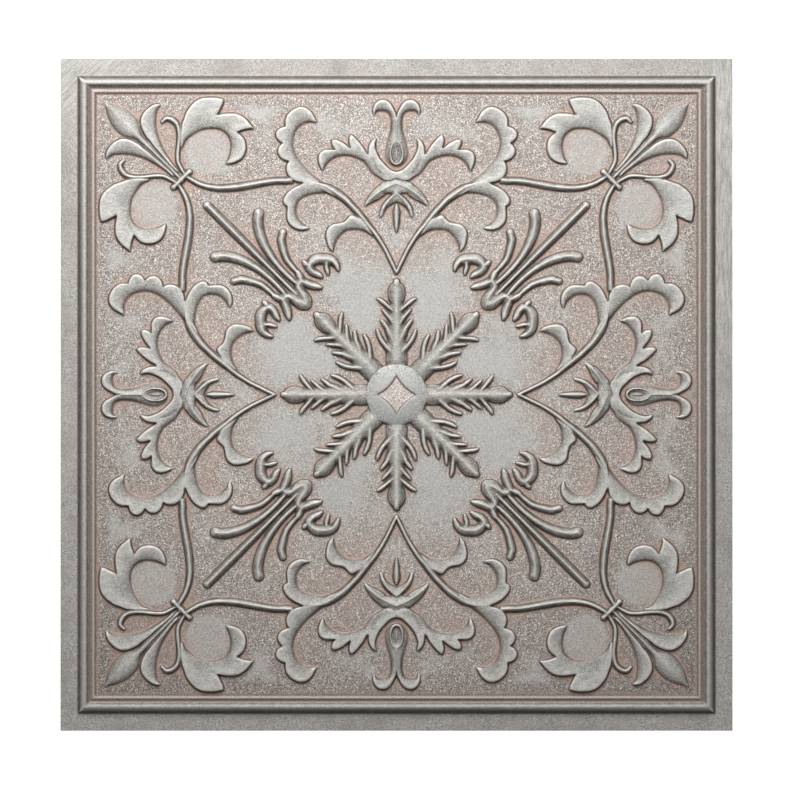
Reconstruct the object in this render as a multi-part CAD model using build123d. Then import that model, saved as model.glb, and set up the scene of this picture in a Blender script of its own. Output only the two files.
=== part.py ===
from build123d import *
import math
import os

os.makedirs("parts", exist_ok=True)

# Embossed ceiling panel: one formed sheet of plastic, lying face up, all sizes in millimetres.
# The origin is the centre of the flat back of the flange, z points out of the face.

panel_size = 603.0
sheet = 0.7

# Edge moulding, read outwards from the field: a fine bead, a valley, a broad bead, then the flange.
bead_crest_distance = 279.5
bead_radius = 4.9
bead_spacing = 7.7
fine_bead_radius = 1.9
field_level = 3.2
bead_crest_level = 5.7

# Heights of the ornament over the field's front face.
leaf_height = 2.8
rod_height = 2.2
star_height = 3.5
flank = 0.9

# Centre boss and its four-pointed hollow.
boss_radius = 26.8
boss_height = 6.3
hollow_point = 17.2
hollow_side = 10.2
hollow_depth = 1.6

# The ornament is drawn for this half width of the field.
drawn_half_field = 267.0

# A bend tighter than this radius is drawn in chords, each turning by this angle in radians at most.
tight_radius = 30.0
chord_turn = 0.6

fine_bead_crest_distance = bead_crest_distance - bead_spacing
field_half = fine_bead_crest_distance - fine_bead_radius
ornament_scale = field_half / (drawn_half_field + 2.9)
field_back = field_level - sheet


def scaled(points):
    return [(x * ornament_scale, y * ornament_scale) for x, y in points]


def edge_moulding():
    """The four mitred strips of moulding and flange, as one ring round the field."""
    half = panel_size / 2

    def profile(thinner):
        low = -1.0 if thinner else 0.0
        flat = Polygon(
            (0, low), (bead_crest_distance, low), (bead_crest_distance, field_level - thinner),
            (0, field_level - thinner), align=None,
        )
        bead_centre = (bead_crest_distance, bead_crest_level - bead_radius)
        fine_centre = (fine_bead_crest_distance, field_level + fine_bead_radius - 0.8 - fine_bead_radius / 2)
        shape = flat + Pos(*bead_centre) * Circle(bead_radius - thinner)
        shape += Pos(*fine_centre) * RegularPolygon(fine_bead_radius - thinner, 8)
        return shape

    front = profile(0.0) + Polygon((0, 0), (half, 0), (half, sheet), (0, sheet), align=None)
    below = Pos(half / 2, -10) * Rectangle(2 * half, 20)
    inside = Pos(field_half / 2 - 5, 0) * Rectangle(field_half - 10, 40)
    section = front - profile(sheet) - below - inside
    strip = extrude(Plane.XZ * section, amount=half, both=True)
    wedge = extrude(Polygon((0, 0), (half + 5, -half - 5), (half + 5, half + 5), align=None), 30)
    strip = strip & wedge
    return Part() + [Rot(0, 0, 90 * turn) * strip for turn in range(4)]


def chords(points):
    return [list(pair) for pair in zip(points, points[1:])]


def pulled_in(runs, distance):
    """The same runs of points, each moved inwards square to the outline; corners are mitred."""
    ring = [point for run in runs for point in run[:-1]]
    count = len(ring)
    area = sum(
        ring[i][0] * ring[(i + 1) % count][1] - ring[(i + 1) % count][0] * ring[i][1]
        for i in range(count)
    )
    turn = 1.0 if area > 0 else -1.0
    moved = []
    for i, (x, y) in enumerate(ring):
        before = Vector(x - ring[i - 1][0], y - ring[i - 1][1]).normalized()
        after = Vector(ring[(i + 1) % count][0] - x, ring[(i + 1) % count][1] - y).normalized()
        normal_before = Vector(-before.Y, before.X) * turn
        normal_after = Vector(-after.Y, after.X) * turn
        spread = max(1 + normal_before.dot(normal_after), 0.12)
        shift = (normal_before + normal_after) * (distance / spread)
        moved.append((x + shift.X, y + shift.Y))
    result = []
    start = 0
    for run in runs:
        steps = len(run) - 1
        result.append([moved[(start + k) % count] for k in range(steps + 1)])
        start += steps
    return result


def with_chords(runs):
    """The same runs, with each tight arc drawn in short chords."""
    result = []
    for run in runs:
        arc = ThreePointArc(*run) if len(run) == 3 else None
        if arc and arc.radius < tight_radius:
            steps = math.ceil(arc.length / arc.radius / chord_turn)
            result += chords([tuple(arc @ (step / steps))[:2] for step in range(steps + 1)])
        else:
            result.append(run)
    return result


def edge_of(run):
    """A straight edge for two points, an arc for three, a soft curve for more."""
    if len(run) == 2:
        return Line(*run)
    if len(run) == 3:
        return ThreePointArc(*run)
    return Spline(*run)


def outline_face(runs):
    return make_face(Curve() + [edge_of(run) for run in runs])


def raised(runs, height):
    """A raised form with sloping flanks and a flat top."""
    runs = [scaled(run) for run in with_chords(runs)]
    low = Pos(0, 0, field_back) * outline_face(runs)
    high = Pos(0, 0, field_level + height) * outline_face(pulled_in(runs, flank))
    return loft([low, high], ruled=True)


def hollow_behind(runs, height):
    """The hollow that the sheet leaves behind a raised form, straight from point to point."""
    corners = [point for run in runs for point in run[:-1]]
    runs = [scaled(pair) for pair in chords(corners + corners[:1])]
    low = Pos(0, 0, field_back - 1) * outline_face(runs)
    high = Pos(0, 0, field_back + height) * outline_face(pulled_in(runs, flank))
    return loft([low, high], ruled=True)


def ridge_runs(line):
    """The outline of a ridge, straight from point to point, from its crest with a half width at each."""
    left, right = [], []
    for i, (x, y, half_width) in enumerate(line):
        x0, y0 = line[max(i - 1, 0)][:2]
        x1, y1 = line[min(i + 1, len(line) - 1)][:2]
        along = Vector(x1 - x0, y1 - y0).normalized()
        left.append((x - along.Y * half_width, y + along.X * half_width))
        right.append((x + along.Y * half_width, y - along.X * half_width))
    return chords(left + right[::-1] + left[:1])


def mirrored_runs(runs, about):
    """An outline given as one half, closed with its mirror image across a line of symmetry."""
    if about == "upright":
        flip = [[(-x, y) for x, y in run][::-1] for run in runs[::-1]]
    else:
        flip = [[(y, x) for x, y in run][::-1] for run in runs[::-1]]
    return runs + flip


def star_leaf():
    """One of the eight lobed leaves round the boss."""
    half = [
        [(0, 24), (9.9, 25)],
        [(9.9, 25), (11.6, 40)],
        [(11.6, 40), (18.9, 57.2)],
        [(18.9, 57.2), (17.6, 59.6)],
        [(17.6, 59.6), (11.1, 55.2)],
        [(11.1, 55.2), (15, 68)],
        [(15, 68), (10.4, 68)],
        [(10.4, 68), (13.2, 76.2)],
        [(13.2, 76.2), (9, 76.2)],
        [(9, 76.2), (17.6, 86.2)],
        [(17.6, 86.2), (12, 86.4)],
        [(12, 86.4), (5.3, 83.2)],
        [(5.3, 83.2), (6, 94)],
        [(6, 94), (0, 103.2)],
    ]
    return mirrored_runs(half, "upright")


def upper_leaf():
    """The lobed leaf of a scroll that curls up towards the moulding."""
    return [
        [(45.1, 177.6), (66, 190.6), (85.1, 207), (93.1, 225.2)],
        [(93.1, 225.2), (88.6, 239.2), (71.4, 244.2)],
        [(71.4, 244.2), (86, 258), (99.8, 240.6)],
        [(99.8, 240.6), (108, 233.4), (102.6, 225.3)],
        [(102.6, 225.3), (106, 215), (97, 208.8)],
        [(97, 208.8), (97.4, 197.4), (88, 190)],
        [(88, 190), (66, 185.4), (48, 174.6)],
        [(48, 174.6), (45.1, 177.6)],
    ]


def lower_leaf():
    """The leaf of a scroll that curls back under the upper one."""
    return [
        [(47, 177.2), (71, 190.4), (91.1, 185.6)],
        [(91.1, 185.6), (99.8, 177.8)],
        [(99.8, 177.8), (101.4, 172.4), (98, 168.6)],
        [(98, 168.6), (94.8, 151.6), (78, 149.7)],
        [(78, 149.7), (90.1, 164.6), (79.7, 178.7)],
        [(79.7, 178.7), (64, 180.8), (49.5, 173.6)],
        [(49.5, 173.6), (47, 177.2)],
    ]


def frame_stem():
    """Half of the pointed arch that joins two scrolls."""
    return [
        [(-1.6, 109.6), (8.7, 130.6), (28, 160.4), (52, 184.4)],
        [(52, 184.4), (56.8, 178)],
        [(56.8, 178), (32, 154.6), (11.4, 129.2), (1.2, 108.4)],
        [(1.2, 108.4), (-1.6, 109.6)],
    ]


def small_leaf():
    return [
        [(27.6, 153.8), (38, 160.4)],
        [(38, 160.4), (42.6, 159.8)],
        [(42.6, 159.8), (46.8, 155.2)],
        [(46.8, 155.2), (53.7, 153.4)],
        [(53.7, 153.4), (63, 144.4), (57, 128.1)],
        [(57, 128.1), (50.4, 142.9), (35, 148.1)],
        [(35, 148.1), (27, 146)],
        [(27, 146), (20.6, 141.4)],
        [(20.6, 141.4), (27.6, 153.8)],
    ]


def connecting_rod():
    return ridge_runs([
        (93.4, 191.6, 3.0), (110, 191.4, 3.2), (134, 187.6, 3.5), (158, 185.2, 3.1), (176, 188.6, 2.5),
        (188, 195.4, 2.0),
    ])


def tie():
    """The band that gathers the stems at each corner."""
    return ridge_runs([(183.6, 201.8, 2.6), (201.8, 183.6, 2.6)])


def corner_pod():
    half = [
        [(219.4, 219.4), (218.2, 221)],
        [(218.2, 221), (226.8, 230.4), (230.4, 241)],
        [(230.4, 241), (240.6, 254), (261.6, 261.6)],
    ]
    return mirrored_runs(half, "diagonal")


def pod_stem():
    return ridge_runs([(196.4, 196.4, 1.5), (212, 212, 1.6), (224, 224, 3.2)])


def side_petal():
    return [
        [(195.4, 202.4), (210, 222), (215.8, 242)],
        [(215.8, 242), (215, 252)],
        [(215, 252), (211.6, 259.8)],
        [(211.6, 259.8), (226.4, 253.4), (228.6, 239.4)],
        [(228.6, 239.4), (216.6, 220.8), (197, 200.2)],
        [(197, 200.2), (195.4, 202.4)],
    ]


def tendril():
    return ridge_runs([
        (190.6, 199, 1.8), (194.6, 207, 1.8), (195.6, 216, 1.8), (194.6, 231, 2.1), (196.4, 240, 2.3),
        (200.6, 245, 2.2), (207.4, 246.4, 1.8),
    ])


def tulip_leaf():
    """The broad three-lobed leaf beside each corner pod."""
    return [
        [(194.4, 221), (193.4, 239)],
        [(193.4, 239), (189.4, 251.4), (182, 261.4)],
        [(182, 261.4), (169, 266.8), (155, 264.8)],
        [(155, 264.8), (160.2, 250.8)],
        [(160.2, 250.8), (142.4, 251.4), (128.4, 238.8)],
        [(128.4, 238.8), (142.6, 234.8)],
        [(142.6, 234.8), (136.2, 215.6), (152.8, 207)],
        [(152.8, 207), (149.2, 228.6), (166.4, 238.8)],
        [(166.4, 238.8), (182.4, 233.6), (191.8, 221)],
        [(191.8, 221), (194.4, 221)],
    ]


def centre_spray_rod():
    return ridge_runs([(88.5, 88.5, 1.6), (120, 120, 2.9), (150, 150, 3.8), (173, 173, 3.4)])


def inner_spray_rod():
    return ridge_runs([
        (88.6, 98.8, 1.9), (108.3, 118.1, 2.7), (120.4, 138, 3.9), (124.3, 154.6, 4.3), (123, 166.2, 4.0),
    ])


def outer_spray_rod():
    return ridge_runs([
        (86.4, 107.4, 2.0), (93.4, 114, 2.5), (99.6, 124.6, 3.1), (102.8, 138, 3.4), (100.8, 149.2, 2.4),
    ])


def spray_base():
    """The ragged cup of leaves that the five rods rise from."""
    half = [
        [(76.9, 76.9), (75, 80.6)],
        [(75, 80.6), (76.8, 87)],
        [(76.8, 87), (82.6, 93.6)],
        [(82.6, 93.6), (66.4, 95.4)],
        [(66.4, 95.4), (78.6, 104)],
        [(78.6, 104), (65.4, 104.2)],
        [(65.4, 104.2), (74.6, 113.4)],
        [(74.6, 113.4), (70, 116.4)],
        [(70, 116.4), (60.8, 105.8)],
        [(60.8, 105.8), (59.4, 117.2)],
        [(59.4, 117.2), (52, 110.2)],
        [(52, 110.2), (53.6, 121.6), (68.4, 126.8)],
        [(68.4, 126.8), (75.8, 125.6), (79.4, 120.4)],
        [(79.4, 120.4), (84.2, 119.4)],
        [(84.2, 119.4), (84, 111)],
        [(84, 111), (90.2, 110.2)],
        [(90.2, 110.2), (88.2, 103.6)],
        [(88.2, 103.6), (92.2, 92.2)],
    ]
    return mirrored_runs(half, "diagonal")


def wing_leaf():
    return [
        [(2, 196), (13.6, 209.6), (18.4, 229.6)],
        [(18.4, 229.6), (23.8, 224)],
        [(23.8, 224), (25.5, 215.2)],
        [(25.5, 215.2), (32, 225)],
        [(32, 225), (40.6, 232.8)],
        [(40.6, 232.8), (42.6, 227)],
        [(42.6, 227), (41.2, 220.8)],
        [(41.2, 220.8), (48.6, 226.4)],
        [(48.6, 226.4), (57.6, 228.3)],
        [(57.6, 228.3), (55, 219.6)],
        [(55, 219.6), (69.4, 214), (66.2, 200.4)],
        [(66.2, 200.4), (49.8, 214.4), (29.4, 209.2)],
        [(29.4, 209.2), (22.4, 199.2)],
        [(22.4, 199.2), (11.5, 191.9)],
        [(11.5, 191.9), (2, 193)],
        [(2, 193), (2, 196)],
    ]


def palmette_curl():
    """The two curled tips over the palmette, with the swelling of their stem."""
    half = [
        [(0, 205.4), (6.6, 209.4), (9.4, 218)],
        [(9.4, 218), (6.2, 232)],
        [(6.2, 232), (4.8, 244)],
        [(4.8, 244), (10.2, 254), (20, 250.4)],
        [(20, 250.4), (18.8, 261.2), (11.2, 264.2)],
        [(11.2, 264.2), (4.2, 259.4), (0, 251)],
    ]
    return mirrored_runs(half, "upright")


def palmette_petal():
    half = [
        [(0, 180), (9, 180.4)],
        [(9, 180.4), (17, 174.6)],
        [(17, 174.6), (28.4, 168.6)],
        [(28.4, 168.6), (23, 180.8)],
        [(23, 180.8), (12.1, 190.6)],
        [(12.1, 190.6), (0, 193.6)],
    ]
    return mirrored_runs(half, "upright")


def palmette_foot():
    half = [
        [(0, 172.6), (8, 168.2)],
        [(8, 168.2), (12.9, 159.4)],
        [(12.9, 159.4), (15.1, 159.2)],
        [(15.1, 159.2), (11.2, 172.6), (0, 183)],
    ]
    return mirrored_runs(half, "upright")


def palmette_drop():
    half = [
        [(0, 146.4), (2.8, 159), (0, 169.4)],
    ]
    return mirrored_runs(half, "upright")


def boss():
    """The low dome at the centre, with its four-pointed hollow pressed into the top."""
    base = boss_radius
    height = boss_height
    sphere = (base * base + height * height) / (2 * height)

    def dome(radius, drop, low):
        ball = Pos(0, 0, field_level + height - sphere - drop) * Sphere(radius)
        return ball & (Pos(0, 0, low + 25) * Box(80, 80, 50))

    def hollow(grow):
        tip = hollow_point + grow * 2.0
        side = hollow_side / math.sqrt(2) + grow
        runs = []
        for quarter in range(4):
            turn = math.radians(90 * quarter)
            points = [(0, tip), (side, side), (tip, 0)]
            turned = [
                (x * math.cos(turn) + y * math.sin(turn), -x * math.sin(turn) + y * math.cos(turn))
                for x, y in points
            ]
            runs.append(ThreePointArc(*turned))
        return Pos(0, 0, field_back) * extrude(make_face(Curve() + runs), 40)

    outer = dome(sphere, 0, field_back)
    outer = outer - (hollow(0) - dome(sphere, hollow_depth, field_back - 5))
    inner = dome(sphere - sheet, 0, field_back - 1)
    inner = inner - (hollow(sheet) - dome(sphere - sheet, hollow_depth, field_back - 5))
    return outer, inner


# Each form with its height, how it repeats, and the line of the hollow behind it.
forms = [
    (star_leaf(), star_height, "eight",
     [(0, 30, 7.6), (0, 44, 9.4), (0, 57, 6.4), (0, 80, 5.2), (0, 90, 4.4), (0, 98, 1.4)]),
    (upper_leaf(), leaf_height, "mirrored",
     [(76, 193.2, 3.6), (88, 202.8, 5.0), (97.4, 217, 3.8), (98.4, 234, 4.0), (89, 249.4, 4.6), (79, 248.8, 1.8)]),
    (lower_leaf(), leaf_height, "mirrored",
     [(74, 184.4, 2.4), (90, 179.8, 3.8), (95, 166, 2.6), (91.4, 153.6, 1.6)]),
    (frame_stem(), leaf_height, "mirrored", []),
    (small_leaf(), leaf_height, "mirrored",
     [(36, 153.2, 3.2), (52, 148.4, 3.6), (58.8, 135.8, 1.8)]),
    (connecting_rod(), rod_height, "mirrored", []),
    (tie(), rod_height, "four", []),
    (corner_pod(), leaf_height, "four",
     [(225, 225, 4.6), (238, 238, 9.6), (248, 248, 6.4), (256, 256, 2.4)]),
    (pod_stem(), rod_height, "four", []),
    (side_petal(), leaf_height, "mirrored",
     [(208, 216.4, 2), (221.4, 240.6, 4.6), (216.6, 255, 1.8)]),
    (tendril(), rod_height, "mirrored", []),
    (tulip_leaf(), leaf_height, "mirrored",
     [(187.6, 236.6, 3.6), (177, 248.6, 7.0), (164.6, 258.6, 4.6)]),
    (centre_spray_rod(), rod_height, "four", []),
    (inner_spray_rod(), rod_height, "mirrored", []),
    (outer_spray_rod(), rod_height, "mirrored", []),
    (spray_base(), leaf_height, "four", [(79.6, 79.6, 2.6), (84.4, 84.4, 6.2), (88.4, 88.4, 4.6)]),
    (wing_leaf(), leaf_height, "mirrored",
     [(9, 196.6, 2.4), (22, 208, 3.2), (36, 216.6, 1.8)]),
    (palmette_curl(), leaf_height, "four", [(0, 208, 3.8), (0, 218, 6.6), (0, 230, 4.2), (0, 246, 3)]),
    (palmette_petal(), leaf_height, "four", []),
    (palmette_foot(), leaf_height, "four", []),
    (palmette_drop(), rod_height, "four", []),
]


half_panel = panel_size / 2
octant = extrude(Polygon((0, 0), (half_panel, half_panel), (0, half_panel), align=None), 30)

# One eighth of the panel is formed, then mirrored across the diagonal and both centre lines.
raised_forms = []
hollows = []
for runs, height, how, hollow_line in forms:
    solids = [(raised(runs, height), raised_forms)]
    if hollow_line:
        solids.append((hollow_behind(ridge_runs(hollow_line), height), hollows))
    for solid, group in solids:
        group.append(solid & octant)
        if how == "eight":
            group.append((Rot(0, 0, -45) * solid) & octant)

boss_outer, boss_inner = boss()
field = Pos(0, 0, field_back + sheet / 2) * Box(2 * (field_half - 10), 2 * (field_half - 10), sheet)
eighth = ((edge_moulding() + [field, boss_outer]) & octant) + raised_forms
eighth = eighth - (boss_inner & octant)
for hollow in hollows:
    eighth = eighth - hollow


def on_cut_plane(face):
    """Whether a face of the eighth lies on the centre line or on the diagonal."""
    normal = face.normal_at()
    centre = face.center()
    on_centre_line = abs(centre.X) < 1e-4 and abs(normal.X) > 0.999
    on_diagonal = abs(centre.X - centre.Y) < 1e-4 and abs(normal.X - normal.Y) > 1.413
    return on_centre_line or on_diagonal


skin = [face for face in eighth.faces() if not on_cut_plane(face)]
skin += [mirror(face, about=Plane.YZ) for face in skin]
panel = Solid(Shell([Rot(0, 0, 90 * turn) * face for turn in range(4) for face in skin]))

export_step(panel, "parts/panel.step")
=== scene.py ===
import math
import bpy
import numpy as np
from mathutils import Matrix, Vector


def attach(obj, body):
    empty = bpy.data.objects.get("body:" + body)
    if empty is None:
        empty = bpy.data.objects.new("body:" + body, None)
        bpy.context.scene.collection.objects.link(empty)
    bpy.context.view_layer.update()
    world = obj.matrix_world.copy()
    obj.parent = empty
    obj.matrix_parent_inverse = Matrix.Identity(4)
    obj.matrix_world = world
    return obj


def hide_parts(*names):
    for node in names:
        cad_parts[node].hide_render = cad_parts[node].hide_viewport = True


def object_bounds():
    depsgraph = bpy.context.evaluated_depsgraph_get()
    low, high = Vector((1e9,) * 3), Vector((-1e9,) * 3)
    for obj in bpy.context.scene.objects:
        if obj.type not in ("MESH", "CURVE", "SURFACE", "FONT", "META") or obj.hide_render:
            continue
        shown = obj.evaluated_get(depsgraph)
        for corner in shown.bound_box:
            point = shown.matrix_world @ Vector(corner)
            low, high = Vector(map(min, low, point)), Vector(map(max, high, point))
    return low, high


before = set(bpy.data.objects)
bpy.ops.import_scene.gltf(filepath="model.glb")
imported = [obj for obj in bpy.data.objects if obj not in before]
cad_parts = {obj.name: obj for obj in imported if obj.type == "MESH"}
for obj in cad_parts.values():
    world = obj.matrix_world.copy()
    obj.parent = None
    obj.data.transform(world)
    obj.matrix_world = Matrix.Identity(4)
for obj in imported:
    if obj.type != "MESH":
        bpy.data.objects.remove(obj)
frame_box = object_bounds()

# The panel. One sheet of thin PVC, heated and drawn over a mould, so that the scrolls stand up
# from the field, then painted silver and glazed. One eighth of it is worked out, from the upright
# centre line to the diagonal, and mirrored round. Sizes are in millimetres up to the paint.

HALF = 301.5
SHEET = 0.7
FIELD = 3.2
STEPS = 512
SPACING = HALF / STEPS


def smooth(points, step=1.6):
    """Points along a soft curve through the given ones; a third number, such as a width, follows."""
    p = np.array(points, float)
    if len(p) < 3:
        return p
    first = 2 * p[0] - p[1]
    last = 2 * p[-1] - p[-2]
    q = np.vstack([first, p, last])
    out = []
    for i in range(1, len(q) - 2):
        a, b, c, d = q[i - 1], q[i], q[i + 1], q[i + 2]
        count = max(1, int(round(np.hypot(*(c - b)[:2]) / step)))
        for k in range(count):
            t = k / count
            out.append(0.5 * ((2 * b) + (c - a) * t + (2 * a - 5 * b + 4 * c - d) * t ** 2
                              + (3 * b - a - 3 * c + d) * t ** 3))
    out.append(q[-2])
    return np.array(out)


def outline(*runs, mirror=None):
    """A closed outline from soft runs that meet in corners. Mirror closes it over a centre line."""
    line = [smooth(run)[:-1] for run in runs]
    line.append(np.array([runs[-1][-1]], float))
    line = np.vstack(line)
    if mirror == "upright":
        line = np.vstack([line, line[::-1] * (-1, 1)])
    if mirror == "diagonal":
        line = np.vstack([line, line[::-1][:, ::-1]])
    return line


def distance(x, y, line):
    """How far each point is from a line, and the line's third number at the nearest place."""
    best = np.full(x.shape, 1e9)
    value = np.zeros(x.shape)
    for a, b in zip(line[:-1], line[1:]):
        ex, ey = b[0] - a[0], b[1] - a[1]
        length = ex * ex + ey * ey + 1e-12
        t = np.clip(((x - a[0]) * ex + (y - a[1]) * ey) / length, 0, 1)
        d = np.hypot(x - a[0] - t * ex, y - a[1] - t * ey)
        nearer = d < best
        best[nearer] = d[nearer]
        if len(a) > 2:
            value[nearer] = (a[2] + t * (b[2] - a[2]))[nearer]
    return best, value


def inside(x, y, line):
    """Which points lie inside a closed outline."""
    odd = np.zeros(x.shape, bool)
    for a, b in zip(line, np.roll(line, -1, axis=0)):
        if a[1] == b[1]:
            continue
        crosses = (a[1] > y) != (b[1] > y)
        odd ^= crosses & (x < (b[0] - a[0]) * (y - a[1]) / (b[1] - a[1]) + a[0])
    return odd


def soft_step(t):
    t = np.clip(t, 0, 1)
    return t * t * (3 - 2 * t)


# Rods and stems: a crest line, with a half width at each point. Their heights follow in `rods`.
stem = [(0, 109.5, 2.2), (5, 119.8, 2.3), (10, 129.9, 2.3), (15, 138.3, 2.5), (20, 145.4, 2.9),
        (25, 151.3, 3.4), (30, 157.8, 3.7), (35, 163.9, 3.7), (40, 169.4, 3.7), (45.1, 174.4, 3.9),
        (50, 178.3, 4.2), (55.6, 182, 4.3), (60.8, 185.2, 3.9), (66, 187.6, 2.7), (71, 189.2, 1.8)]
connecting_rod = [(94.6, 192.3, 3.8), (99.8, 191.8, 3.8), (110, 191.6, 3.8), (122, 189.8, 3.9),
                  (134, 187.6, 4.1), (146, 185.8, 4.0), (158, 185.2, 3.7), (167.6, 186.2, 3.4),
                  (176, 188.6, 3.1), (182, 191.6, 2.9), (188, 195.2, 2.6)]
tendril = [(190, 197.6, 2.3), (194.1, 204.6, 2.5), (195.9, 209.4, 2.5), (196.2, 214.8, 2.5),
           (195.7, 220.2, 2.6), (195, 225.6, 2.7), (194.7, 231, 2.8), (195, 236.4, 3.0),
           (196.2, 241.2, 3.2), (198.6, 244.5, 3.4), (201.6, 246.6, 3.4), (204.6, 247.5, 3.1),
           (207, 247.2, 2.7), (210, 244.2, 1.7)]
tie_band = [(185.8, 199.6, 3.2), (187.6, 197.8, 3.5), (192.8, 192.8, 3.7), (197.8, 187.6, 3.5),
            (199.6, 185.8, 3.2)]
pod_stem = [(194, 194, 2.7), (206, 206, 2.7), (214, 214, 2.9), (224, 224, 4.2)]
spray_middle = [(89.5, 89.5, 2.5), (100, 100, 2.8), (110, 110, 3.3), (120, 120, 3.8), (130, 130, 4.2),
                (140, 140, 4.5), (150, 150, 4.7), (160, 160, 4.6), (169.5, 169.5, 4.4)]
spray_inner = [(88.4, 98.6, 2.8), (90.9, 100.7, 2.9), (95.3, 104.6, 3.0), (99.6, 108.5, 3.3),
               (103.9, 112.9, 3.5), (108.3, 118.1, 3.7), (112.6, 124.1, 4.0), (116.9, 131.1, 4.4),
               (120, 137.6, 4.8), (122.1, 143.2, 5.0), (123.4, 148.4, 5.2), (124.3, 153.6, 5.3),
               (124.3, 157.9, 5.3), (123.4, 162.4, 5.2)]
spray_outer = [(85.6, 106.2, 2.8), (88.3, 109, 2.9), (93.5, 114.7, 3.2), (98.3, 121.1, 3.6),
               (101.3, 129.4, 4.0), (103.2, 138, 4.3), (102.9, 141.5, 4.2), (101.8, 145.4, 3.8)]

# The star: the trunk of an arm and the fingers on one side of it, each with its height.
star_rods = [
    ([(0, 22, 9.6), (0, 30, 9.9), (0, 38, 9.6), (0, 46, 8.8), (0, 56, 7.6), (0, 64, 6.4), (0, 72, 6.4),
      (0, 80, 5.8), (0, 85, 7.2), (0, 89, 8.0), (0, 93, 8.2), (0, 96.4, 7.2), (0, 99, 5.4),
      (0, 101, 3.4)], 3.6),
    ([(5, 38.6, 4.3), (8.8, 43, 3.4), (12, 46.6, 3.0), (14.6, 50.8, 2.8), (16.2, 54.6, 2.5),
      (17.2, 58, 1.5)], 2.9),
    ([(3, 48, 4.1), (6, 54.6, 4.1), (8.4, 59.8, 3.3), (11.0, 63.4, 2.8), (13.4, 66.4, 1.7)], 2.9),
    ([(2, 62, 3.7), (5.4, 68.2, 3.3), (8.2, 71.4, 2.7), (10.8, 74.2, 2.1), (12.4, 76, 1.1)], 2.7),
    ([(3, 75, 3.3), (7.6, 79.2, 2.9), (11.4, 82.4, 2.7), (14.6, 84.8, 2.3), (17, 86, 1.3)], 2.8),
]

# The curled and forked foot that gathers the rods of a spray, each with its height.
base_rods = [
    ([(52.2, 111.6, 1.6), (53.2, 115, 3.0), (56.4, 119.2, 4.4), (60.5, 121.2, 5.2), (66, 121.8, 5.4),
      (71.6, 121.4, 5.4), (75.6, 118.8, 5.0), (78.4, 114.8, 4.6), (76, 111, 4.3), (72.6, 108.8, 4.0),
      (69.8, 107.4, 3.4), (67.4, 105.6, 2.0)], 3.3),
    ([(78.6, 115, 4.0), (81.4, 117.4, 3.5), (82.8, 118.8, 2.4)], 2.9),
    ([(62.4, 120.4, 3.4), (62.8, 114.8, 3.0), (61.8, 110.6, 2.5), (61.2, 108, 1.5)], 2.6),
    ([(88.6, 109.6, 3.0), (86.8, 105.8, 4.0), (85, 101.8, 4.6), (80.8, 99.8, 4.5), (77, 98.4, 4.4),
      (72, 97, 3.8), (68, 96, 2.0)], 3.3),
    ([(85, 101.8, 4.2), (88, 98.4, 4.4), (87, 94.2, 4.7), (83.8, 89.2, 5.2), (81.4, 84.8, 5.8),
      (81.6, 81.6, 6.2)], 3.4),
]

# Fine raised lines on the flower at the middle of each side, and its pistil.
teardrop = [(0, 227.8, 1.1), (2.2, 226.2, 1.2), (4.0, 223.4, 1.3), (5.2, 219.8, 1.4), (5.6, 216, 1.5),
            (5.2, 212.4, 1.5), (4.2, 209.4, 1.5), (2.4, 207.2, 1.5), (0, 206.4, 1.5)]
bulb_line = [(0, 228, 1.0), (0, 238, 1.2), (0, 247, 1.0)]
petal_line = [(0, 189.4, 1.2), (5.2, 187.2, 1.2), (11.7, 184, 1.2), (18.1, 179.8, 1.1), (24.1, 174.8, 0.9)]
foot_line = [(0, 180.6, 1.2), (4, 177, 1.2), (8.8, 171.8, 1.1), (12.5, 165.8, 0.9)]
pistil = [(0, 146, 0.9), (0, 153, 2.9), (0, 160, 3.6), (0, 165, 3.8), (0, 169.6, 1.4)]

rods = [
    (stem, 2.7), (connecting_rod, 2.5), (tendril, 2.3), (tie_band, 3.1), (pod_stem, 2.0),
    (spray_middle, 2.6), (spray_inner, 2.8), (spray_outer, 2.6), (pistil, 2.5), (teardrop, 3.0),
    (bulb_line, 3.1), (petal_line, 3.5), (foot_line, 3.3),
]
rods += base_rods


# Leaves are of two kinds. A scoop is high along its lobed edge and slopes down to its inner edge. A
# ridged leaf rises from its edge to crest lines, given with the height at each point.
def scoop(inner, *outer, low=1.1, high=2.8):
    return {"edge": outline(inner, *outer), "inner": smooth(inner), "outer": outline(*outer),
            "low": low, "high": high}


def ridged(edge, crests, lip):
    return {"edge": edge, "crests": [smooth(line, 2.5) for line in crests], "lip": lip}


upper_leaf = scoop(
    [(52, 176.6), (66, 190), (74.7, 196.6), (79.9, 201.4), (85.1, 207), (89.4, 213.1), (92, 219.1),
     (93.1, 225.2), (92.4, 230.4), (90.7, 235.6), (87.7, 239.9), (83.3, 243), (78.1, 244.4), (71.4, 244.2)],
    [(71.4, 244.2), (73.4, 248.2), (76.4, 253.4), (80.7, 256.8), (85.5, 258), (90.3, 256.8), (94.6, 254.2),
     (98.1, 250.3), (99.7, 246), (99.8, 240.6)],
    [(99.8, 240.6), (104.6, 238.6), (107.6, 235.6), (108.1, 232.1), (106.3, 228.2), (102.6, 225.3)],
    [(102.6, 225.3), (104.2, 223.5), (106.1, 220.4), (106.3, 216.5), (104.2, 212.6), (100.7, 210.3),
     (96.8, 208.9)],
    [(96.8, 208.9), (98.1, 206.6), (98.8, 203.1), (98.3, 199.2), (96.4, 195.3), (92.9, 192.3),
     (88.5, 190.6), (81.6, 189)],
    [(81.6, 189), (71, 186), (60, 180), (52, 176.6)],
)
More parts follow.
